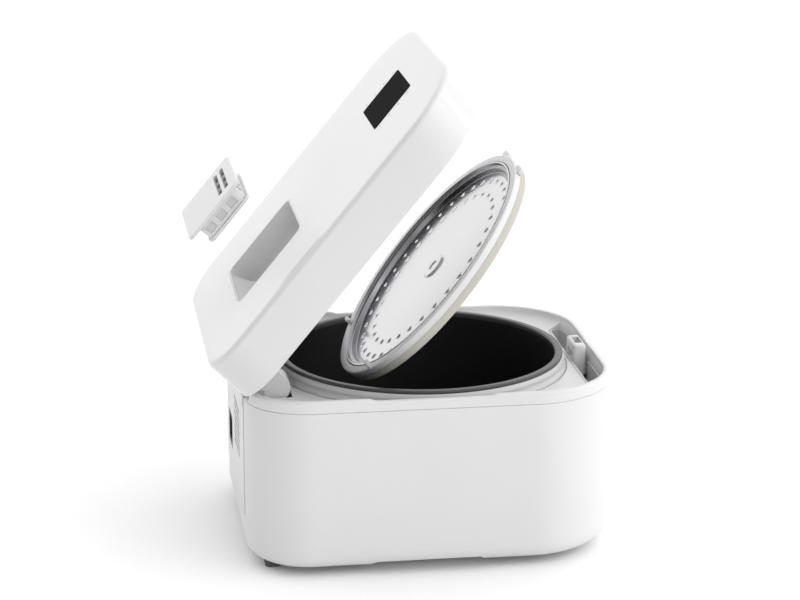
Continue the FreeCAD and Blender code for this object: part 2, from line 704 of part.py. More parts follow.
for build in (body_shell, top_frame, latch_tray, pot_collar, heat_well, base_cover, feet, rear_cover,
              inner_pot, coil_carrier, induction_coil, ferrites, sensor, electronics, fan, inlet,
              hinge, hinge_ears, catch, lid_shell, lid_liner, lid_fittings, display, steam_pocket,
              inner_lid, steam_cap, base_screws):
    build()
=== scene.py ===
"""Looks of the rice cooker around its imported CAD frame: shells, pot, inner lid, steam cap and studio."""
import json
import math

import bmesh
import bpy
from mathutils import Matrix, Vector


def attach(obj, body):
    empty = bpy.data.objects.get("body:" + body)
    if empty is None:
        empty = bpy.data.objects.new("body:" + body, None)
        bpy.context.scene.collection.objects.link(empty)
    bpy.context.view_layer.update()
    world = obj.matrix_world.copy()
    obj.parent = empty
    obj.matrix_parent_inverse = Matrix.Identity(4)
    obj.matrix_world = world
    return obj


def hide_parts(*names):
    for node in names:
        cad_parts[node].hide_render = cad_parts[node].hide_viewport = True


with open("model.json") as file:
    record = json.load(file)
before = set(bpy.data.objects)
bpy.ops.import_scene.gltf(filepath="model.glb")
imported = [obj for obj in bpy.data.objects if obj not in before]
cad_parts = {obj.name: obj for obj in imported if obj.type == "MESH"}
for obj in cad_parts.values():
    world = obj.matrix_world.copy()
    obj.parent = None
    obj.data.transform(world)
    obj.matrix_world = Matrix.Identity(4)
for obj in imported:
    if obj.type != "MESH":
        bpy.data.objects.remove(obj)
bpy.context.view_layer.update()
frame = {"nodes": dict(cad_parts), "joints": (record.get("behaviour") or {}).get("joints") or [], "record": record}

MM = 0.001
NODES = frame["nodes"]
JOINTS = {joint["name"]: joint for joint in frame["joints"]}
COUPLING = frame["record"]["behaviour"]["couplings"][0]


# ---- places of the lid, the inner lid and the steam cap -------------------------------------
def swing(angle):
    """Matrix that turns a piece about the lid hinge, in metres."""
    hinge = JOINTS["lid_hinge"]
    pivot = Vector(hinge["pos_m"])
    turn = Matrix.Rotation(angle, 4, Vector(hinge["axis"]))
    return Matrix.Translation(pivot) @ turn @ Matrix.Translation(-pivot)


def slide(joint, distance):
    return Matrix.Translation(Vector(JOINTS[joint]["axis"]) * distance)


OPEN_ANGLE = -math.radians(JOINTS["lid_hinge"]["range_deg"][0])
AT_BASE = Matrix.Identity(4)
AT_LID = swing(OPEN_ANGLE)
AT_INNER = slide("inner_lid_out", COUPLING["ratio"] * OPEN_ANGLE) @ AT_LID
AT_CAP = slide("cap_pull", -JOINTS["cap_pull"]["range_m"][0]) @ AT_LID


def seat(node, place=AT_BASE):
    """Lowest and highest corner of a CAD node with its place undone, in millimetres."""
    back = place.inverted()
    points = [back @ v.co for v in NODES[node].data.vertices]
    low = Vector([min(p[i] for p in points) for i in range(3)]) / MM
    high = Vector([max(p[i] for p in points) for i in range(3)]) / MM
    return low, high


# ---- mesh helpers, all in millimetres -------------------------------------------------------
def fillet(corners, steps=5):
    """Closed outline of (a, b, radius) corners, each rounded by an arc."""
    out = []
    count = len(corners)
    for i, (a, b, radius) in enumerate(corners):
        here = Vector((a, b))
        before = Vector(corners[i - 1][:2]) - here
        after = Vector(corners[(i + 1) % count][:2]) - here
        if radius <= 0:
            out.append((a, b))
            continue
        half = before.angle(after) / 2
        reach = min(radius / math.tan(half), before.length * 0.499, after.length * 0.499)
        radius = reach * math.tan(half)
        centre = here + (before.normalized() + after.normalized()).normalized() * (radius / math.sin(half))
        first = here + before.normalized() * reach - centre
        last = here + after.normalized() * reach - centre
        sweep = first.angle_signed(last)
        for k in range(steps + 1):
            turned = first.copy()
            turned.rotate(Matrix.Rotation(-sweep * k / steps, 2))
            out.append(tuple(centre + turned))
    return out


def plan_loop(half_w, front, rear, r_front, r_rear, inset=0.0, per_corner=14, per_side=8):
    """Counter-clockwise rounded rectangle as a list of (x, y), moved in by inset."""
    half_w -= inset
    front += inset
    rear -= inset
    r_front = max(r_front - inset, 0.3)
    r_rear = max(r_rear - inset, 0.3)
    corners = [(half_w - r_front, front + r_front, r_front, -90),
               (half_w - r_rear, rear - r_rear, r_rear, 0),
               (r_rear - half_w, rear - r_rear, r_rear, 90),
               (r_front - half_w, front + r_front, r_front, 180)]
    arcs = []
    for cx, cy, radius, start in corners:
        arc = []
        for k in range(per_corner + 1):
            angle = math.radians(start + 90 * k / per_corner)
            arc.append((cx + radius * math.cos(angle), cy + radius * math.sin(angle)))
        arcs.append(arc)
    out = []
    for i, arc in enumerate(arcs):
        out += arc
        x0, y0 = arc[-1]
        x1, y1 = arcs[(i + 1) % 4][0]
        for k in range(1, per_side):
            f = k / per_side
            out.append((x0 + (x1 - x0) * f, y0 + (y1 - y0) * f))
    return out


def circle_loop(radius, segments=128, x=0.0, y=0.0):
    out = []
    for k in range(segments):
        angle = 2 * math.pi * k / segments
        out.append((x + radius * math.cos(angle), y + radius * math.sin(angle)))
    return out


def raise_loop(loop, z):
    return [(x, y, z) for x, y in loop]


def mesh_object(name, points, faces, place):
    mesh = bpy.data.meshes.new(name)
    mesh.from_pydata([place @ (Vector(p) * MM) for p in points], [], faces)
    work = bmesh.new()
    work.from_mesh(mesh)
    bmesh.ops.remove_doubles(work, verts=work.verts, dist=1e-7)
    bmesh.ops.recalc_face_normals(work, faces=work.faces)
    work.to_mesh(mesh)
    work.free()
    obj = bpy.data.objects.new(name, mesh)
    bpy.context.scene.collection.objects.link(obj)
    return obj


def skin(name, loops, place=AT_BASE, closed=True):
    """Surface through rings of equal count: a closed tube, or capped at both ends."""
    count = len(loops[0])
    points = [p for loop in loops for p in loop]
    faces = []
    last = len(loops) if closed else len(loops) - 1
    for j in range(last):
        a = j * count
        b = (j + 1) % len(loops) * count
        for i in range(count):
            n = (i + 1) % count
            faces.append((a + i, a + n, b + n, b + i))
    if not closed:
        faces.append(tuple(range(count)))
        faces.append(tuple(range((len(loops) - 1) * count, len(loops) * count)))
    return mesh_object(name, points, faces, place)


def lathe(name, profile, place=AT_BASE, x=0.0, y=0.0, segments=160, closed=True):
    """Turned piece from a profile of (radius, z)."""
    loops = [raise_loop(circle_loop(radius, segments, x, y), z) for radius, z in profile]
    return skin(name, loops, place, closed)


def prism(name, outline, z0, z1, place=AT_BASE, edge=0.0):
    """Plate or block from an outline function of inset, with rounded upper and lower edges."""
    levels = fillet([(0.01 + edge * 2, z0, 0), (0, z0, edge), (0, z1, edge), (0.01 + edge * 2, z1, 0)], 4)
    loops = [raise_loop(outline(inset), z) for inset, z in levels]
    return skin(name, loops, place, closed=False)


def rounded(half_x, y0, y1, radius, per_corner=8, x=0.0):
    """Outline function of a rounded rectangle, for prism."""
    def outline(inset):
        loop = plan_loop(half_x, y0, y1, radius, radius, inset, per_corner, 2)
        return [(px + x, py) for px, py in loop]
    return outline


def box(name, x0, x1, y0, y1, z0, z1, place=AT_BASE, edge=0.0, radius=0.3):
    """Block between two corners, its upright edges rounded by radius and the rest by edge."""
    return prism(name, rounded((x1 - x0) / 2, y0, y1, radius, 4, (x0 + x1) / 2), z0, z1, place, edge)


def bake(obj):
    """Replaces the object's mesh by what its modifiers make of it."""
    graph = bpy.context.evaluated_depsgraph_get()
    mesh = bpy.data.meshes.new_from_object(obj.evaluated_get(graph))
    obj.modifiers.clear()
    obj.data = mesh


def boolean(obj, tools, operation="DIFFERENCE"):
    for tool in tools:
        modifier = obj.modifiers.new(operation, "BOOLEAN")
        modifier.operation = operation
        modifier.solver = "MANIFOLD"
        modifier.object = tool
    bake(obj)
    for tool in tools:
        bpy.data.objects.remove(tool)
    require_closed(obj)
    return obj


def require_closed(obj):
    """Stops the script if a cut has emptied the piece or torn it open."""
    work = bmesh.new()
    work.from_mesh(obj.data)
    torn = [edge for edge in work.edges if len(edge.link_faces) != 2]
    empty = not work.faces
    work.free()
    if empty or torn:
        raise RuntimeError(f"{obj.name}: {len(torn)} open edges after a cut")


def join(obj, others):
    """Puts separate closed pieces into one mesh."""
    work = bmesh.new()
    work.from_mesh(obj.data)
    for other in others:
        work.from_mesh(other.data)
        bpy.data.objects.remove(other)
    work.to_mesh(obj.data)
    work.free()
    return obj


def soften(obj, width, angle=35.0, segments=3):
    """Rounds every edge sharper than angle."""
    modifier = obj.modifiers.new("soften", "BEVEL")
    modifier.width = width * MM
    modifier.segments = segments
    modifier.limit_method = "ANGLE"
    modifier.angle_limit = math.radians(angle)
    modifier.use_clamp_overlap = True
    bake(obj)
    return obj


def smooth(mesh, angle=32.0):
    for face in mesh.polygons:
        face.use_smooth = True
    mesh.set_sharp_from_angle(angle=math.radians(angle))


def finish_piece(obj, body, material, nodes=(), angle=32.0):
    """Shading, material, body and the CAD nodes that the piece stands for."""
    smooth(obj.data, angle)
    obj.data.materials.clear()
    obj.data.materials.append(material)
    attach(obj, body)
    if nodes:
        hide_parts(*nodes)
    return obj


# ---- materials ------------------------------------------------------------------------------
def surface(name, colour, rough, metallic=0.0, tint=0.02, rough_spread=0.06, grain=900.0, bump=0.02,
            coat=0.0, specular=0.5, blotch=18.0, brushed=None, depth=0.0002):
    """Principled material with fine variation of colour, roughness and relief."""
    material = bpy.data.materials.new(name)
    material.use_nodes = True
    tree = material.node_tree
    shader = tree.nodes["Principled BSDF"]
    shader.inputs["Metallic"].default_value = metallic
    shader.inputs["Specular IOR Level"].default_value = specular
    shader.inputs["Coat Weight"].default_value = coat
    shader.inputs["Coat Roughness"].default_value = 0.06
    place = tree.nodes.new("ShaderNodeTexCoord")
    stretch = tree.nodes.new("ShaderNodeMapping")
    stretch.inputs["Scale"].default_value = brushed or (1.0, 1.0, 1.0)
    tree.links.new(place.outputs["Object"], stretch.inputs["Vector"])
    broad = tree.nodes.new("ShaderNodeTexNoise")
    broad.inputs["Scale"].default_value = blotch
    broad.inputs["Detail"].default_value = 3.0
    tree.links.new(place.outputs["Object"], broad.inputs["Vector"])
    shade = tree.nodes.new("ShaderNodeMix")
    shade.data_type = "RGBA"
    low = [max(c * (1 - tint), 0.0) for c in colour] + [1.0]
    high = [min(c * (1 + tint), 1.0) for c in colour] + [1.0]
    shade.inputs["A"].default_value = low
    shade.inputs["B"].default_value = high
    tree.links.new(broad.outputs["Fac"], shade.inputs["Factor"])
    tree.links.new(shade.outputs["Result"], shader.inputs["Base Color"])
    fine = tree.nodes.new("ShaderNodeTexNoise")
    fine.inputs["Scale"].default_value = grain
    fine.inputs["Detail"].default_value = 4.0
    tree.links.new(stretch.outputs["Vector"], fine.inputs["Vector"])
    ramp = tree.nodes.new("ShaderNodeMapRange")
    ramp.inputs["To Min"].default_value = max(rough - rough_spread, 0.02)
    ramp.inputs["To Max"].default_value = min(rough + rough_spread, 1.0)
    tree.links.new(fine.outputs["Fac"], ramp.inputs["Value"])
    tree.links.new(ramp.outputs["Result"], shader.inputs["Roughness"])
    relief = tree.nodes.new("ShaderNodeBump")
    relief.inputs["Strength"].default_value = bump
    relief.inputs["Distance"].default_value = depth
    tree.links.new(fine.outputs["Fac"], relief.inputs["Height"])
    tree.links.new(relief.outputs["Normal"], shader.inputs["Normal"])
    return material


FINISH = {
    "shell_white": surface("moulded_white", (0.70, 0.70, 0.70), 0.38, bump=0.015),
    "lid_white": surface("lid_gloss_white", (0.69, 0.69, 0.69), 0.30, coat=0.5, bump=0.008),
    "frame_white": surface("frame_white", (0.70, 0.70, 0.70), 0.34, bump=0.015),
    "collar_grey": surface("collar_grey", (0.58, 0.58, 0.58), 0.45, bump=0.03),
    "liner_white": surface("liner_white", (0.68, 0.68, 0.68), 0.45, bump=0.03),
    "pocket_grey": surface("pocket_grey", (0.68, 0.68, 0.68), 0.38, bump=0.03),
    "cap_white": surface("cap_white", (0.70, 0.70, 0.70), 0.32, bump=0.015),
    "pot_coating": surface("pot_coating", (0.012, 0.012, 0.012), 0.42, bump=0.12, grain=2600.0, tint=0.2),
    "steel": surface("brushed_steel", (0.55, 0.55, 0.56), 0.32, metallic=1.0, brushed=(1.0, 1.0, 30.0)),
    "bright_plate": surface("polished_plate", (0.55, 0.55, 0.56), 0.18, metallic=1.0, bump=0.02),
    "silicone": surface("silicone", (0.52, 0.50, 0.45), 0.55, bump=0.06, grain=1400.0, tint=0.05),
    "rubber_foot": surface("rubber", (0.10, 0.10, 0.10), 0.75, bump=0.15, grain=1600.0),
    "copper_coil": surface("enamelled_copper", (0.60, 0.24, 0.10), 0.30, metallic=0.9, bump=0.2, grain=500.0),
    "ferrite": surface("ferrite", (0.05, 0.05, 0.055), 0.7, bump=0.2),
    "board": surface("circuit_board", (0.03, 0.16, 0.06), 0.4, tint=0.25, blotch=160.0, bump=0.1),
    "component_black": surface("component_black", (0.025, 0.025, 0.028), 0.45, bump=0.05),
    "dark_plastic": surface("dark_plastic", (0.035, 0.035, 0.037), 0.5, bump=0.08),
    "brass_pin": surface("brass", (0.72, 0.53, 0.24), 0.28, metallic=1.0, bump=0.04),
    "heat_sink": surface("extruded_aluminium", (0.62, 0.62, 0.63), 0.4, metallic=1.0,
                         brushed=(1.0, 25.0, 1.0)),
    "display_black": surface("display_glass", (0.026, 0.026, 0.026), 0.45, bump=0.004, specular=0.0,
                             tint=0.1),
}
EXTRA = {
    "pot_rim": surface("pot_rim_grey", (0.05, 0.05, 0.052), 0.36, bump=0.05, grain=2000.0, specular=0.5),
    "slot_grey": surface("slot_grey", (0.25, 0.25, 0.25), 0.5, bump=0.05),
    "slot_dark": surface("slot_dark", (0.012, 0.012, 0.012), 0.6, bump=0.05),
    "touch_mark": surface("touch_mark_grey", (0.44, 0.44, 0.44), 0.4, bump=0.01),
    "cap_panel": surface("cap_panel_grey", (0.60, 0.60, 0.60), 0.4, bump=0.02),
    # darker copy of the plate's metal: painted shade on the inner plate's step wall
    "wall_painted_shade": surface("plate_wall_painted_shade", (0.26, 0.26, 0.27), 0.22, metallic=1.0, bump=0.02),
}
for part in frame["record"]["subparts"]:
    NODES[part["node"]].data.materials.clear()
    NODES[part["node"]].data.materials.append(FINISH[part["material_slot"]])


# ---- outer body -----------------------------------------------------------------------------
BODY_R_FRONT = 70.0
BODY_R_REAR = 50.0
FOOT_ROUND = 24.0
WALL = 3.0
low, high = seat("body_shell")
BODY_HALF_W = high.x
BODY_FRONT = low.y
BODY_REAR = high.y
SHELL_Z0 = low.z
SHELL_Z1 = high.z
DOOR_HALF = 76.5
RIM_INSET = 4.4
HOLE_R = 118.4
DECK_Z = 133.0
RIM_Z = seat("top_frame")[1].z
SEAM = 0.2
REAR_LOW_X = 93.0
REAR_LOW_Z = 136.4
POCKET_INSET = 5.1
EAR_X = 63
EAR_ROOM = 13


def body_loop(inset, z):
    loop = plan_loop(BODY_HALF_W, BODY_FRONT, BODY_REAR, BODY_R_FRONT, BODY_R_REAR, inset, 28, 16)
    return raise_loop(loop, z)


def make_body_shell():
    floor_z = SHELL_Z0 + 8.0
    profile = fillet([(30, SHELL_Z0, 0.4), (0, SHELL_Z0, FOOT_ROUND),
                      (0, SHELL_Z1, 0.6), (WALL, SHELL_Z1, 0.6),
                      (WALL, floor_z, FOOT_ROUND - WALL), (30, floor_z, 0.4)], 12)
    shell = skin("body_shell_skin", [body_loop(inset, z) for inset, z in profile])
    notch_low, notch_high = -30.0, 52.0
    tools = [box("door", -DOOR_HALF, DOOR_HALF, BODY_REAR - 12, BODY_REAR + 5, 38, SHELL_Z1 + 1, radius=3),
             box("window", -17.4, 17.4, BODY_FRONT - 2, BODY_FRONT + 5, 107.6, 126.4)]
    for side in (-1, 1):
        ends = [(notch_low - 6, -1), (notch_low, 4.4), (notch_high, 4.4), (notch_high + 6, -1)]
        points = [(x * side, y, SHELL_Z0 + z) for x in (98, 128) for y, z in ends]
        faces = [(0, 1, 2, 3), (7, 6, 5, 4), (0, 4, 5, 1), (1, 5, 6, 2), (2, 6, 7, 3), (3, 7, 4, 0)]
        tools.append(mesh_object("notch", points, faces, AT_BASE))
    boolean(shell, tools)
    finish_piece(shell, "base", FINISH["shell_white"], ["body_shell"])


def outline_radius(angle, inset):
    """Distance from the pot's axis to the body's outline in one direction."""
    c = abs(math.cos(angle))
    s = math.sin(angle)
    half = BODY_HALF_W - inset
    depth = BODY_REAR - inset if s > 0 else -BODY_FRONT - inset
    radius = (BODY_R_REAR if s > 0 else BODY_R_FRONT) - inset
    s = abs(s)
    reach = min(half / max(c, 1e-9), depth / max(s, 1e-9))
    cx = half - radius
    cy = depth - radius
    if c * reach > cx and s * reach > cy:
        along = c * cx + s * cy
        reach = along + math.sqrt(along * along - (cx * cx + cy * cy - radius * radius))
    return reach


def smoothstep(value, start, end):
    f = min(max((value - start) / (end - start), 0.0), 1.0)
    return f * f * (3 - 2 * f)


def rim_height(angle):
    """Top of the rim: a shallow dip along each side and a low rear edge."""
    reach = outline_radius(angle, 0)
    x = abs(reach * math.cos(angle))
    y = reach * math.sin(angle)
    dip = smoothstep(y, -42, -36) * (1 - smoothstep(y, 54, 60)) * smoothstep(x, 100, 112)
    rear = (1 - smoothstep(x, REAR_LOW_X - 1.5, REAR_LOW_X)) * smoothstep(y, 100, 120)
    return RIM_Z - 1.6 * dip - (RIM_Z - REAR_LOW_Z) * rear


def make_top_frame():
    count = 480
    arc = 6
    loops = []
    angles = [2 * math.pi * k / count for k in range(count)]

    def ring(reach_of, height_of):
        loop = []
        for a in angles:
            reach = reach_of(a)
            loop.append((reach * math.cos(a), reach * math.sin(a), height_of(a)))
        loops.append(loop)

    def at_inset(inset, height_of):
        ring(lambda a: outline_radius(a, inset), height_of)

    at_inset(0.3, lambda a: SHELL_Z1 + SEAM)
    at_inset(0.0, lambda a: SHELL_Z1 + SEAM + 0.3)
    for k in range(arc + 1):
        t = math.radians(90 * k / arc)
        at_inset(1.8 * (1 - math.cos(t)), lambda a, t=t: rim_height(a) - 1.8 * (1 - math.sin(t)))
    for k in range(arc + 1):
        t = math.radians(90 * k / arc)
        at_inset(3.4 + 1.0 * math.sin(t), lambda a, t=t: rim_height(a) - 1.0 * (1 - math.cos(t)))

    def gap(a):
        return outline_radius(a, RIM_INSET) - HOLE_R

    def bowl_width(a):
        return min(16.0, 0.7 * gap(a))

    def bowl_height(a):
        return min(8.0, rim_height(a) - 1.4 - DECK_Z)

    for k in range(9):
        t = math.radians(90 * k / 8)
        ring(lambda a, t=t: outline_radius(a, RIM_INSET) - bowl_width(a) * (1 - math.cos(t)),
             lambda a, t=t: DECK_Z + bowl_height(a) * (1 - math.sin(t)))
    for f in (0.34, 0.67):
        ring(lambda a, f=f: HOLE_R + 0.6 + (gap(a) - bowl_width(a) - 0.6) * (1 - f), lambda a: DECK_Z)
    ring(lambda a: HOLE_R + 0.6, lambda a: DECK_Z)
    ring(lambda a: HOLE_R, lambda a: DECK_Z - 0.6)
    ring(lambda a: HOLE_R, lambda a: DECK_Z - 2.4)
    at_inset(5.3, lambda a: DECK_Z - 2.4)
    at_inset(5.3, lambda a: 127.0)
    at_inset(WALL + 0.3, lambda a: 127.0)
    at_inset(WALL + 0.3, lambda a: SHELL_Z1 + SEAM)
    top = skin("top_frame_skin", loops)
    tools = [box("well", -80, 80, 136, BODY_REAR + 5, 120, 150)]
    for side in (-1, 1):
        tools.append(box("ear_well", side * EAR_X - EAR_ROOM, side * EAR_X + EAR_ROOM, 111.5,
                         BODY_REAR + 5, 120, 150, radius=2))
    pocket = box("pocket", -80.4, 80.4, -137.4, -121, 120, 150, radius=8)
    room = skin("body_room", [body_loop(POCKET_INSET, 119), body_loop(POCKET_INSET, 151)], closed=False)
    boolean(pocket, [room], "INTERSECT")
    boolean(top, tools + [pocket])
    finish_piece(top, "base", FINISH["frame_white"], ["top_frame"])


def make_pot_collar():
    low, high = seat("pot_collar")
    r_in = 111.6
    profile = fillet([(r_in, low.z, 0.4), (113.6, low.z, 0.4), (113.6, 127.4, 0.4), (high.x, 128.4, 0.8),
                      (high.x, 134.0, 1.6), (115.0, 136.6, 1.4), (116.6, 139.4, 1.6), (115.6, high.z, 1.0),
                      (r_in, high.z, 0.5)], 6)
    collar = lathe("pot_collar_skin", profile, segments=240)
    finish_piece(collar, "base", FINISH["collar_grey"], ["pot_collar"], 40)


def make_pot():
    low, high = seat("inner_pot")
    r_in = 108.5
    r_out = 110.5
    flange = high.x
    z0 = low.z
    z1 = high.z
    profile = fillet([(0.2, z0, 0), (92, z0, 4), (r_out, z0 + 20, 22), (r_out, z1 - 2.6, 0.6),
                      (flange, z1 - 2.6, 0.9), (flange, z1, 1.3), (r_in + 1.4, z1 + 0.0, 0.4),
                      (r_in + 0.3, z1 - 1.2, 0.5), (r_in, z1 - 4, 2),
                      (r_in, z0 + 20, 20), (92, z0 + 2.2, 4), (0.2, z0 + 2.2, 0)], 10)
    pot = lathe("inner_pot_skin", profile, segments=240)
    finish_piece(pot, "pot", FINISH["pot_coating"], ["inner_pot"], 45)
    pot.data.materials.append(EXTRA["pot_rim"])
    for face in pot.data.polygons:
        if face.center.z > (z1 - 3.2) * MM:
            face.material_index = 1


def make_latch():
    low, high = seat("catch_block")
    block = box("catch_block_skin", low.x, high.x, low.y, high.y, low.z, high.z, edge=2.4, radius=2.4)
    front = low.y + 1.6
    lip = high.y - 2.6
    beyond = high.y + 3
    # Throat for the hook's stem, opening below into the mouth that takes its barb.
    outline = [(front, 132), (beyond, 132), (beyond, 140), (lip, 140), (lip, 150), (front, 150)]
    count = len(outline)
    points = [(x, y, z) for x in (-9, 9) for y, z in outline]
    faces = [tuple(range(count)), tuple(range(count, 2 * count))]
    for i in range(count):
        n = (i + 1) % count
        faces.append((i, n, n + count, i + count))
    hook_room = mesh_object("hook_room", points, faces, AT_BASE)
    boolean(block, [hook_room, box("pin_hole", 12.2, 16, -130, -127.6, 138.4, 140.8)])
    finish_piece(block, "catch", FINISH["frame_white"], ["catch_block"])


# ---- lid ------------------------------------------------------------------------------------
LID_LOW, LID_HIGH = seat("lid_shell", AT_LID)
LID_R_FRONT = 62.0
LID_TOP_R_FRONT = 51.0
LID_R_REAR = 38.0
LID_DRAFT_X = 1.6
LID_FLARE_FRONT = 2.1
LID_DRAFT_REAR = 3.0
LID_WALL = 2.6
POCKET_LOW, POCKET_HIGH = seat("steam_pocket", AT_LID)


def lid_loop(inset, z):
    f = (z - LID_LOW.z) / (LID_HIGH.z - LID_LOW.z)
    r_front = LID_R_FRONT + (LID_TOP_R_FRONT - LID_R_FRONT) * f
    return raise_loop(plan_loop(LID_HIGH.x - LID_DRAFT_X * f, LID_LOW.y + LID_FLARE_FRONT * (1 - f),
                                LID_HIGH.y - LID_DRAFT_REAR * f, r_front, LID_R_REAR - f, inset, 28, 16), z)


def make_lid_shell():
    z0 = LID_LOW.z
    z1 = LID_HIGH.z
    outer = fillet([(LID_WALL, z0, 0), (0, z0, 0.5), (0, z1, 4.2), (14, z1, 0)], 10)
    profile = [(8.0, z1 - LID_WALL), (LID_WALL + 1.6, z1 - LID_WALL)] + outer
    shell = skin("lid_shell_skin", [lid_loop(inset, z) for inset, z in profile], AT_LID, closed=False)
    opening = rounded(POCKET_HIGH.x + 0.1, POCKET_LOW.y - 0.1, POCKET_HIGH.y + 0.1, 7.6)
    glass_low, glass_high = seat("display_window", AT_LID)
    window = rounded(glass_high.x + 0.15, glass_low.y - 0.15, glass_high.y + 0.15, 2.5)
    boolean(shell, [prism("opening", opening, z1 - 12, z1 + 8, AT_LID),
                    prism("window", window, z1 - 12, z1 + 8, AT_LID)])
    finish_piece(shell, "lid", FINISH["lid_white"], ["lid_shell"])


def make_display():
    low, high = seat("display_window", AT_LID)
    glass = prism("display_glass", rounded(high.x, low.y, high.y, 2.4), low.z, high.z, AT_LID, 0.1)
    finish_piece(glass, "lid", FINISH["display_black"], ["display_window"])


def make_touch_marks():
    """Plain marks without text, in a row along each side of the display."""
    low, high = seat("display_window", AT_LID)
    marks = []
    for side in (-1, 1):
        x = side * (high.x + 6.0)
        for k in range(4):
            y = low.y + (k + 0.5) * (high.y - low.y) / 4
            marks.append(box("mark", x - 1.6, x + 1.6, y - 1.0, y + 1.0, LID_HIGH.z - 0.2, LID_HIGH.z + 0.03,
                             AT_LID, 0, 0.4))
    piece = join(marks[0], marks[1:])
    piece.name = "touch_marks"
    finish_piece(piece, "lid", EXTRA["touch_mark"])


def make_steam_pocket():
    """Basin with a rim and a hole for the steam port; the scooped rear end is joined on afterwards."""
    wall = 1.5
    half = POCKET_HIGH.x - wall
    y0 = POCKET_LOW.y + wall
    y1 = POCKET_HIGH.y - wall
    floor_z = POCKET_LOW.z + wall
    top = POCKET_HIGH.z
    loops = []

    def basin(inset, z):
        return raise_loop(plan_loop(half, y0, y1, 6.0, 6.0, inset, 10, 8), z)

    levels = fillet([(-wall, floor_z - wall, 0.4), (-wall, top, 0.3), (0, top, 0.5), (0, floor_z, 5.0),
                     (24, floor_z, 0)], 8)
    loops.append(raise_loop(plan_loop(half, y0, y1, 6.0, 6.0, 20, 10, 8), floor_z - wall))
    for inset, z in levels:
        loops.append(basin(inset, z))
    pocket = skin("steam_pocket_skin", loops, AT_LID, closed=False)
    port = lathe("port", [(7.6, floor_z - 5), (7.6, floor_z + 5)], AT_LID, y=52.0, segments=48, closed=False)
    boolean(pocket, [port])
    return pocket


def scoop_piece():
    """Finger ramp at the pocket's rear end, rising to the lid's top in a smooth curve."""
    half = POCKET_HIGH.x - 1.5
    y1 = POCKET_HIGH.y - 1.5
    floor_z = POCKET_LOW.z + 1.5
    rise = POCKET_HIGH.z - 2.0 - floor_z
    depth = 15.0
    columns = 40
    rows = 16
    points = []
    for i in range(columns + 1):
        u = i / columns * 2 - 1
        x = u * (half + 0.4)
        pull = 1 - 0.55 * smoothstep(abs(u), 0.55, 1.0)
        for j in range(rows + 1):
            v = j / rows
            y = y1 - depth * pull * (1 - v)
            z = floor_z + rise * (1 - math.cos(v * math.pi / 2)) ** 0.9
            points.append((x, y, z))
        points.append((x, y1 + 0.6, floor_z + rise))
        points.append((x, y1 + 0.6, floor_z - 0.4))
        points.append((x, y1 - depth * pull, floor_z - 0.4))
    per = rows + 4
    faces = []
    for i in range(columns):
        for j in range(per):
            n = (j + 1) % per
            faces.append((i * per + j, i * per + n, (i + 1) * per + n, (i + 1) * per + j))
    faces.append(tuple(range(per)))
    faces.append(tuple(range(columns * per, (columns + 1) * per)))
    return mesh_object("scoop", points, faces, AT_LID)


# ---- steam cap ------------------------------------------------------------------------------
def make_cap():
    low, high = seat("cap_cover", AT_CAP)
    cover = prism("cap_cover_skin", rounded(high.x, low.y, high.y, 5.0, 10), low.z, high.z, AT_CAP, 0.7)
    slots = []
    lattice = []
    for y in (low.y + 8.5, low.y + 15.7):
        slots.append(prism("slot", rounded(30.6, y, y + 4.2, 1.2), low.z - 5, high.z + 5, AT_CAP))
        floor_outline = rounded(31.4, y - 0.8, y + 5.0, 1.2)
        lattice.append(prism("slot_floor", floor_outline, low.z + 0.1, low.z + 1.1, AT_CAP))
    boolean(cover, slots)
    finish_piece(cover, "cap", FINISH["cap_white"], ["cap_cover"])
    floor_piece = join(lattice[0], lattice[1:])
    floor_piece.name = "cap_slot_bars"
    finish_piece(floor_piece, "cap", EXTRA["slot_grey"])
    squares = []
    for y in (low.y + 9.2, low.y + 16.4):
        for x in (-20, 0, 20):
            squares.append(box("square", x - 4.2, x + 4.2, y, y + 2.8, low.z + 1.05, low.z + 1.35,
                               AT_CAP, 0, 0.3))
    dark = join(squares[0], squares[1:])
    dark.name = "cap_slot_squares"
    finish_piece(dark, "cap", EXTRA["slot_dark"])
    make_cap_panels()


def make_cap_panels():
    """Thin recessed panels in the windows round the side of the cap's box."""
    low, high = seat("cap_box", AT_CAP)
    z0 = low.z + 2.55
    z1 = high.z - 3.15
    recess = 0.9
    thick = 0.6
    panels = []
    for side in (-1, 1):
        face_x = side * (high.x - recess)
        x0, x1 = sorted((face_x, face_x - side * thick))
        for y in (35.0, 47.5, 60.0):
            panels.append(box("panel", x0, x1, y - 0.05, y + 8.05, z0, z1, AT_CAP, 0, 0.1))
    for y0, y1 in ((low.y + recess, low.y + recess + thick), (high.y - recess - thick, high.y - recess)):
        for x in (-31, -14.5, 2, 18.5):
            panels.append(box("panel", x - 0.05, x + 12.55, y0, y1, z0, z1, AT_CAP, 0, 0.1))
    piece = join(panels[0], panels[1:])
    piece.name = "cap_side_panels"
    finish_piece(piece, "cap", EXTRA["cap_panel"])


# ---- inner lid ------------------------------------------------------------------------------
RING_LOW, RING_HIGH = seat("inner_lid_ring", AT_INNER)
PLATE_Z = 148.8
RING_TOP = 156.0
RING_R = 107.9
DIMPLE_ROWS = ((73.0, 30), (87.0, 36))
DIMPLE_R = 3.4
WALL_R0 = 92.2
WALL_R1 = 99.8
DIMPLE_H = 1.0


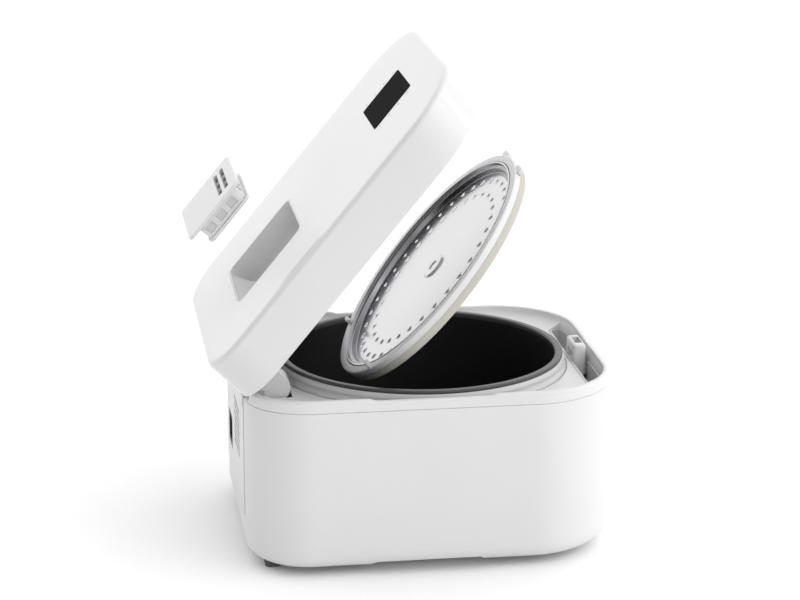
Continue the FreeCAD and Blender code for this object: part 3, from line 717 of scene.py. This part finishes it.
def dimple(x, y):
    """Depth of the pressed dimples and the centre boss at one point of the plate."""
    radius = math.hypot(x, y)
    angle = math.atan2(y, x)
    depth = 0.0
    for row_r, count in DIMPLE_ROWS:
        if abs(radius - row_r) > DIMPLE_R:
            continue
        step = 2 * math.pi / count
        off = (angle + step / 2) % step - step / 2
        gap = math.hypot(radius - row_r, off * row_r)
        if gap < DIMPLE_R:
            depth -= DIMPLE_H * (0.5 + 0.5 * math.cos(math.pi * gap / DIMPLE_R))
    boss = math.hypot(x + 3.0, y + 2.0)
    depth += 1.3 * (1 - smoothstep(boss, 9.5, 12.0)) - 0.9 * (1 - smoothstep(boss, 3.0, 6.0))
    return depth


def make_plate():
    """Pressed plate: dimpled floor, a two-step wall and a flat flange under the ring."""
    segments = 560
    radii = [0.5 * k for k in range(1, 27)] + [14 + 3.0 * k for k in range(0, 19)]
    radii += [69.4 + 0.75 * k for k in range(29)] + [91.2, 92.0]
    wall = fillet([(92.0, PLATE_Z, 0), (95.6, PLATE_Z, 1.0), (96.2, 153.4, 0.6), (98.6, 153.6, 0.6),
                   (99.4, 156.2, 0.3), (100.6, 156.2, 0.3), (100.6, 150.6, 0.2), (104.3, 150.6, 0.2),
                   (104.3, 150.2, 0.1), (97.4, 150.2, 0.3), (96.6, PLATE_Z - 0.8, 0.3),
                   (92.0, PLATE_Z - 0.8, 0)], 4)
    dome = 0.9
    loops = []
    for radius in radii:
        loop = []
        for x, y in circle_loop(radius, segments):
            loop.append((x, y, PLATE_Z + dome * (1 - (radius / 92) ** 2) + dimple(x, y)))
        loops.append(loop)
    for radius, z in wall[1:]:
        loops.append(raise_loop(circle_loop(radius, segments), z))
    for radius in reversed(radii[::2]):
        loop = []
        for x, y in circle_loop(radius, segments):
            loop.append((x, y, PLATE_Z - 0.8 + dome * (1 - (radius / 92) ** 2) + dimple(x, y)))
        loops.append(loop)
    plate = skin("inner_plate_skin", loops, AT_INNER, closed=False)
    finish_piece(plate, "inner_lid", FINISH["bright_plate"],
                 ["inner_lid_plate", "inner_lid_rivet"], 50)
    # painted shade: the step wall's upper faces get the darker copy of the plate's metal
    plate.data.materials.append(EXTRA["wall_painted_shade"])
    back = AT_INNER.inverted()
    for face in plate.data.polygons:
        middle = back @ face.center / MM
        radius = math.hypot(middle.x, middle.y)
        if WALL_R0 < radius < WALL_R1 and middle.z > PLATE_Z - 0.2:
            face.material_index = 1


def make_ring():
    profile = fillet([(100.8, 151.2, 0.3), (104.5, 151.2, 0.2),
                      (104.5, RING_LOW.z, 0.3), (RING_R, RING_LOW.z, 0.8),
                      (RING_R, RING_TOP, 1.3), (101.4, RING_TOP, 0.9), (100.8, 154.6, 0.4)], 6)
    ring = lathe("inner_ring_skin", profile, AT_INNER, segments=240)
    tabs = []
    for x in (-26, 26):
        tabs.append(box("tab", x - 8, x + 8, -108.8, -103, RING_LOW.z + 0.4, RING_LOW.z + 4.4,
                        AT_INNER, 0.8, 2.0))
    for x in (-62, 62):
        tabs.append(box("tongue", x - 5, x + 5, 82.6, 85.8, 154.8, RING_HIGH.z, AT_INNER, 0.8, 1.0))
    boolean(ring, tabs, "UNION")
    finish_piece(ring, "inner_lid", FINISH["frame_white"], ["inner_lid_ring"], 35)


def make_gasket():
    low, high = seat("inner_lid_gasket", AT_INNER)
    profile = fillet([(100.5, high.z, 0.3), (106.9, high.z, 0.5), (107.1, 147.4, 0.8), (107.2, 144.8, 0.8),
                      (106.2, low.z, 0.5), (104.9, 144.2, 0.3), (104.4, 147.6, 0.8), (100.5, 148.4, 0.3)], 5)
    gasket = lathe("gasket_skin", profile, AT_INNER, segments=240)
    finish_piece(gasket, "inner_lid", FINISH["silicone"], ["inner_lid_gasket"], 40)


make_body_shell()
make_top_frame()
make_pot_collar()
make_pot()
make_latch()
make_lid_shell()
make_display()
make_touch_marks()
basin = make_steam_pocket()
boolean(basin, [scoop_piece()], "UNION")
finish_piece(basin, "lid", FINISH["pocket_grey"], ["steam_pocket"])
make_cap()
make_plate()
make_ring()
make_gasket()


# ---- studio ---------------------------------------------------------------------------------
SKY_STRENGTH = 1.3
# Azimuth and elevation of the dim part of the sky, and how much of the light is left there.
SHADE_SIDE = (-145, 5)
SHADE_LEVEL = 0.25


def direction(azimuth, elevation):
    """Unit vector from the object towards a viewer or a lamp."""
    a = math.radians(azimuth)
    e = math.radians(elevation)
    return Vector((math.sin(a) * math.cos(e), -math.cos(a) * math.cos(e), math.sin(e)))


def add_camera():
    data = bpy.data.cameras.new("camera")
    data.sensor_width = 36.0
    data.lens = 117.0
    data.clip_end = 50.0
    camera = bpy.data.objects.new("camera", data)
    bpy.context.scene.collection.objects.link(camera)
    back = direction(-98.3, 15.7)
    camera.location = Vector((0, 0.01635, 0.18644)) + back * 2.088
    camera.rotation_mode = "QUATERNION"
    camera.rotation_quaternion = (-back).to_track_quat("-Z", "Y")
    bpy.context.scene.camera = camera


def add_lamp(name, azimuth, elevation, distance, size, power):
    data = bpy.data.lights.new(name, "AREA")
    data.shape = "RECTANGLE"
    data.size, data.size_y = size
    data.energy = power
    lamp = bpy.data.objects.new(name, data)
    bpy.context.scene.collection.objects.link(lamp)
    lamp.location = Vector((0, 0, 0.15)) + direction(azimuth, elevation) * distance
    lamp.rotation_mode = "QUATERNION"
    lamp.rotation_quaternion = direction(azimuth, elevation).to_track_quat("Z", "Y")
    return lamp


def add_floor():
    count = 48
    radius = 30000.0
    points = [(radius * math.cos(2 * math.pi * k / count), radius * math.sin(2 * math.pi * k / count), -0.02)
              for k in range(count)]
    floor = mesh_object("floor", points, [tuple(range(count))], AT_BASE)
    floor.data.materials.append(surface("floor_white", (0.97, 0.97, 0.97), 0.8, bump=0.0, specular=0.1))


def set_world():
    """White sky, dimmer low behind the object so that its rear falls into shade."""
    world = bpy.data.worlds.new("studio")
    world.use_nodes = True
    tree = world.node_tree
    sky = tree.nodes["Background"]
    sky.inputs["Strength"].default_value = SKY_STRENGTH
    toward = tree.nodes.new("ShaderNodeTexCoord")
    along = tree.nodes.new("ShaderNodeVectorMath")
    along.operation = "DOT_PRODUCT"
    along.inputs[1].default_value = direction(*SHADE_SIDE)
    tree.links.new(toward.outputs["Generated"], along.inputs[0])
    fall = tree.nodes.new("ShaderNodeMapRange")
    fall.interpolation_type = "SMOOTHSTEP"
    fall.inputs["From Min"].default_value = 0.25
    fall.inputs["From Max"].default_value = 0.95
    fall.inputs["To Min"].default_value = 1.0
    fall.inputs["To Max"].default_value = SHADE_LEVEL
    tree.links.new(along.outputs["Value"], fall.inputs["Value"])
    tree.links.new(fall.outputs["Result"], sky.inputs["Color"])
    bpy.context.scene.world = world


add_camera()
add_floor()
set_world()
add_lamp("key", -40, 35, 2.2, (1.2, 1.2), 5)
add_lamp("front", -10, 15, 2.2, (0.5, 1.6), 5)
bpy.context.scene.view_settings.view_transform = "Standard"
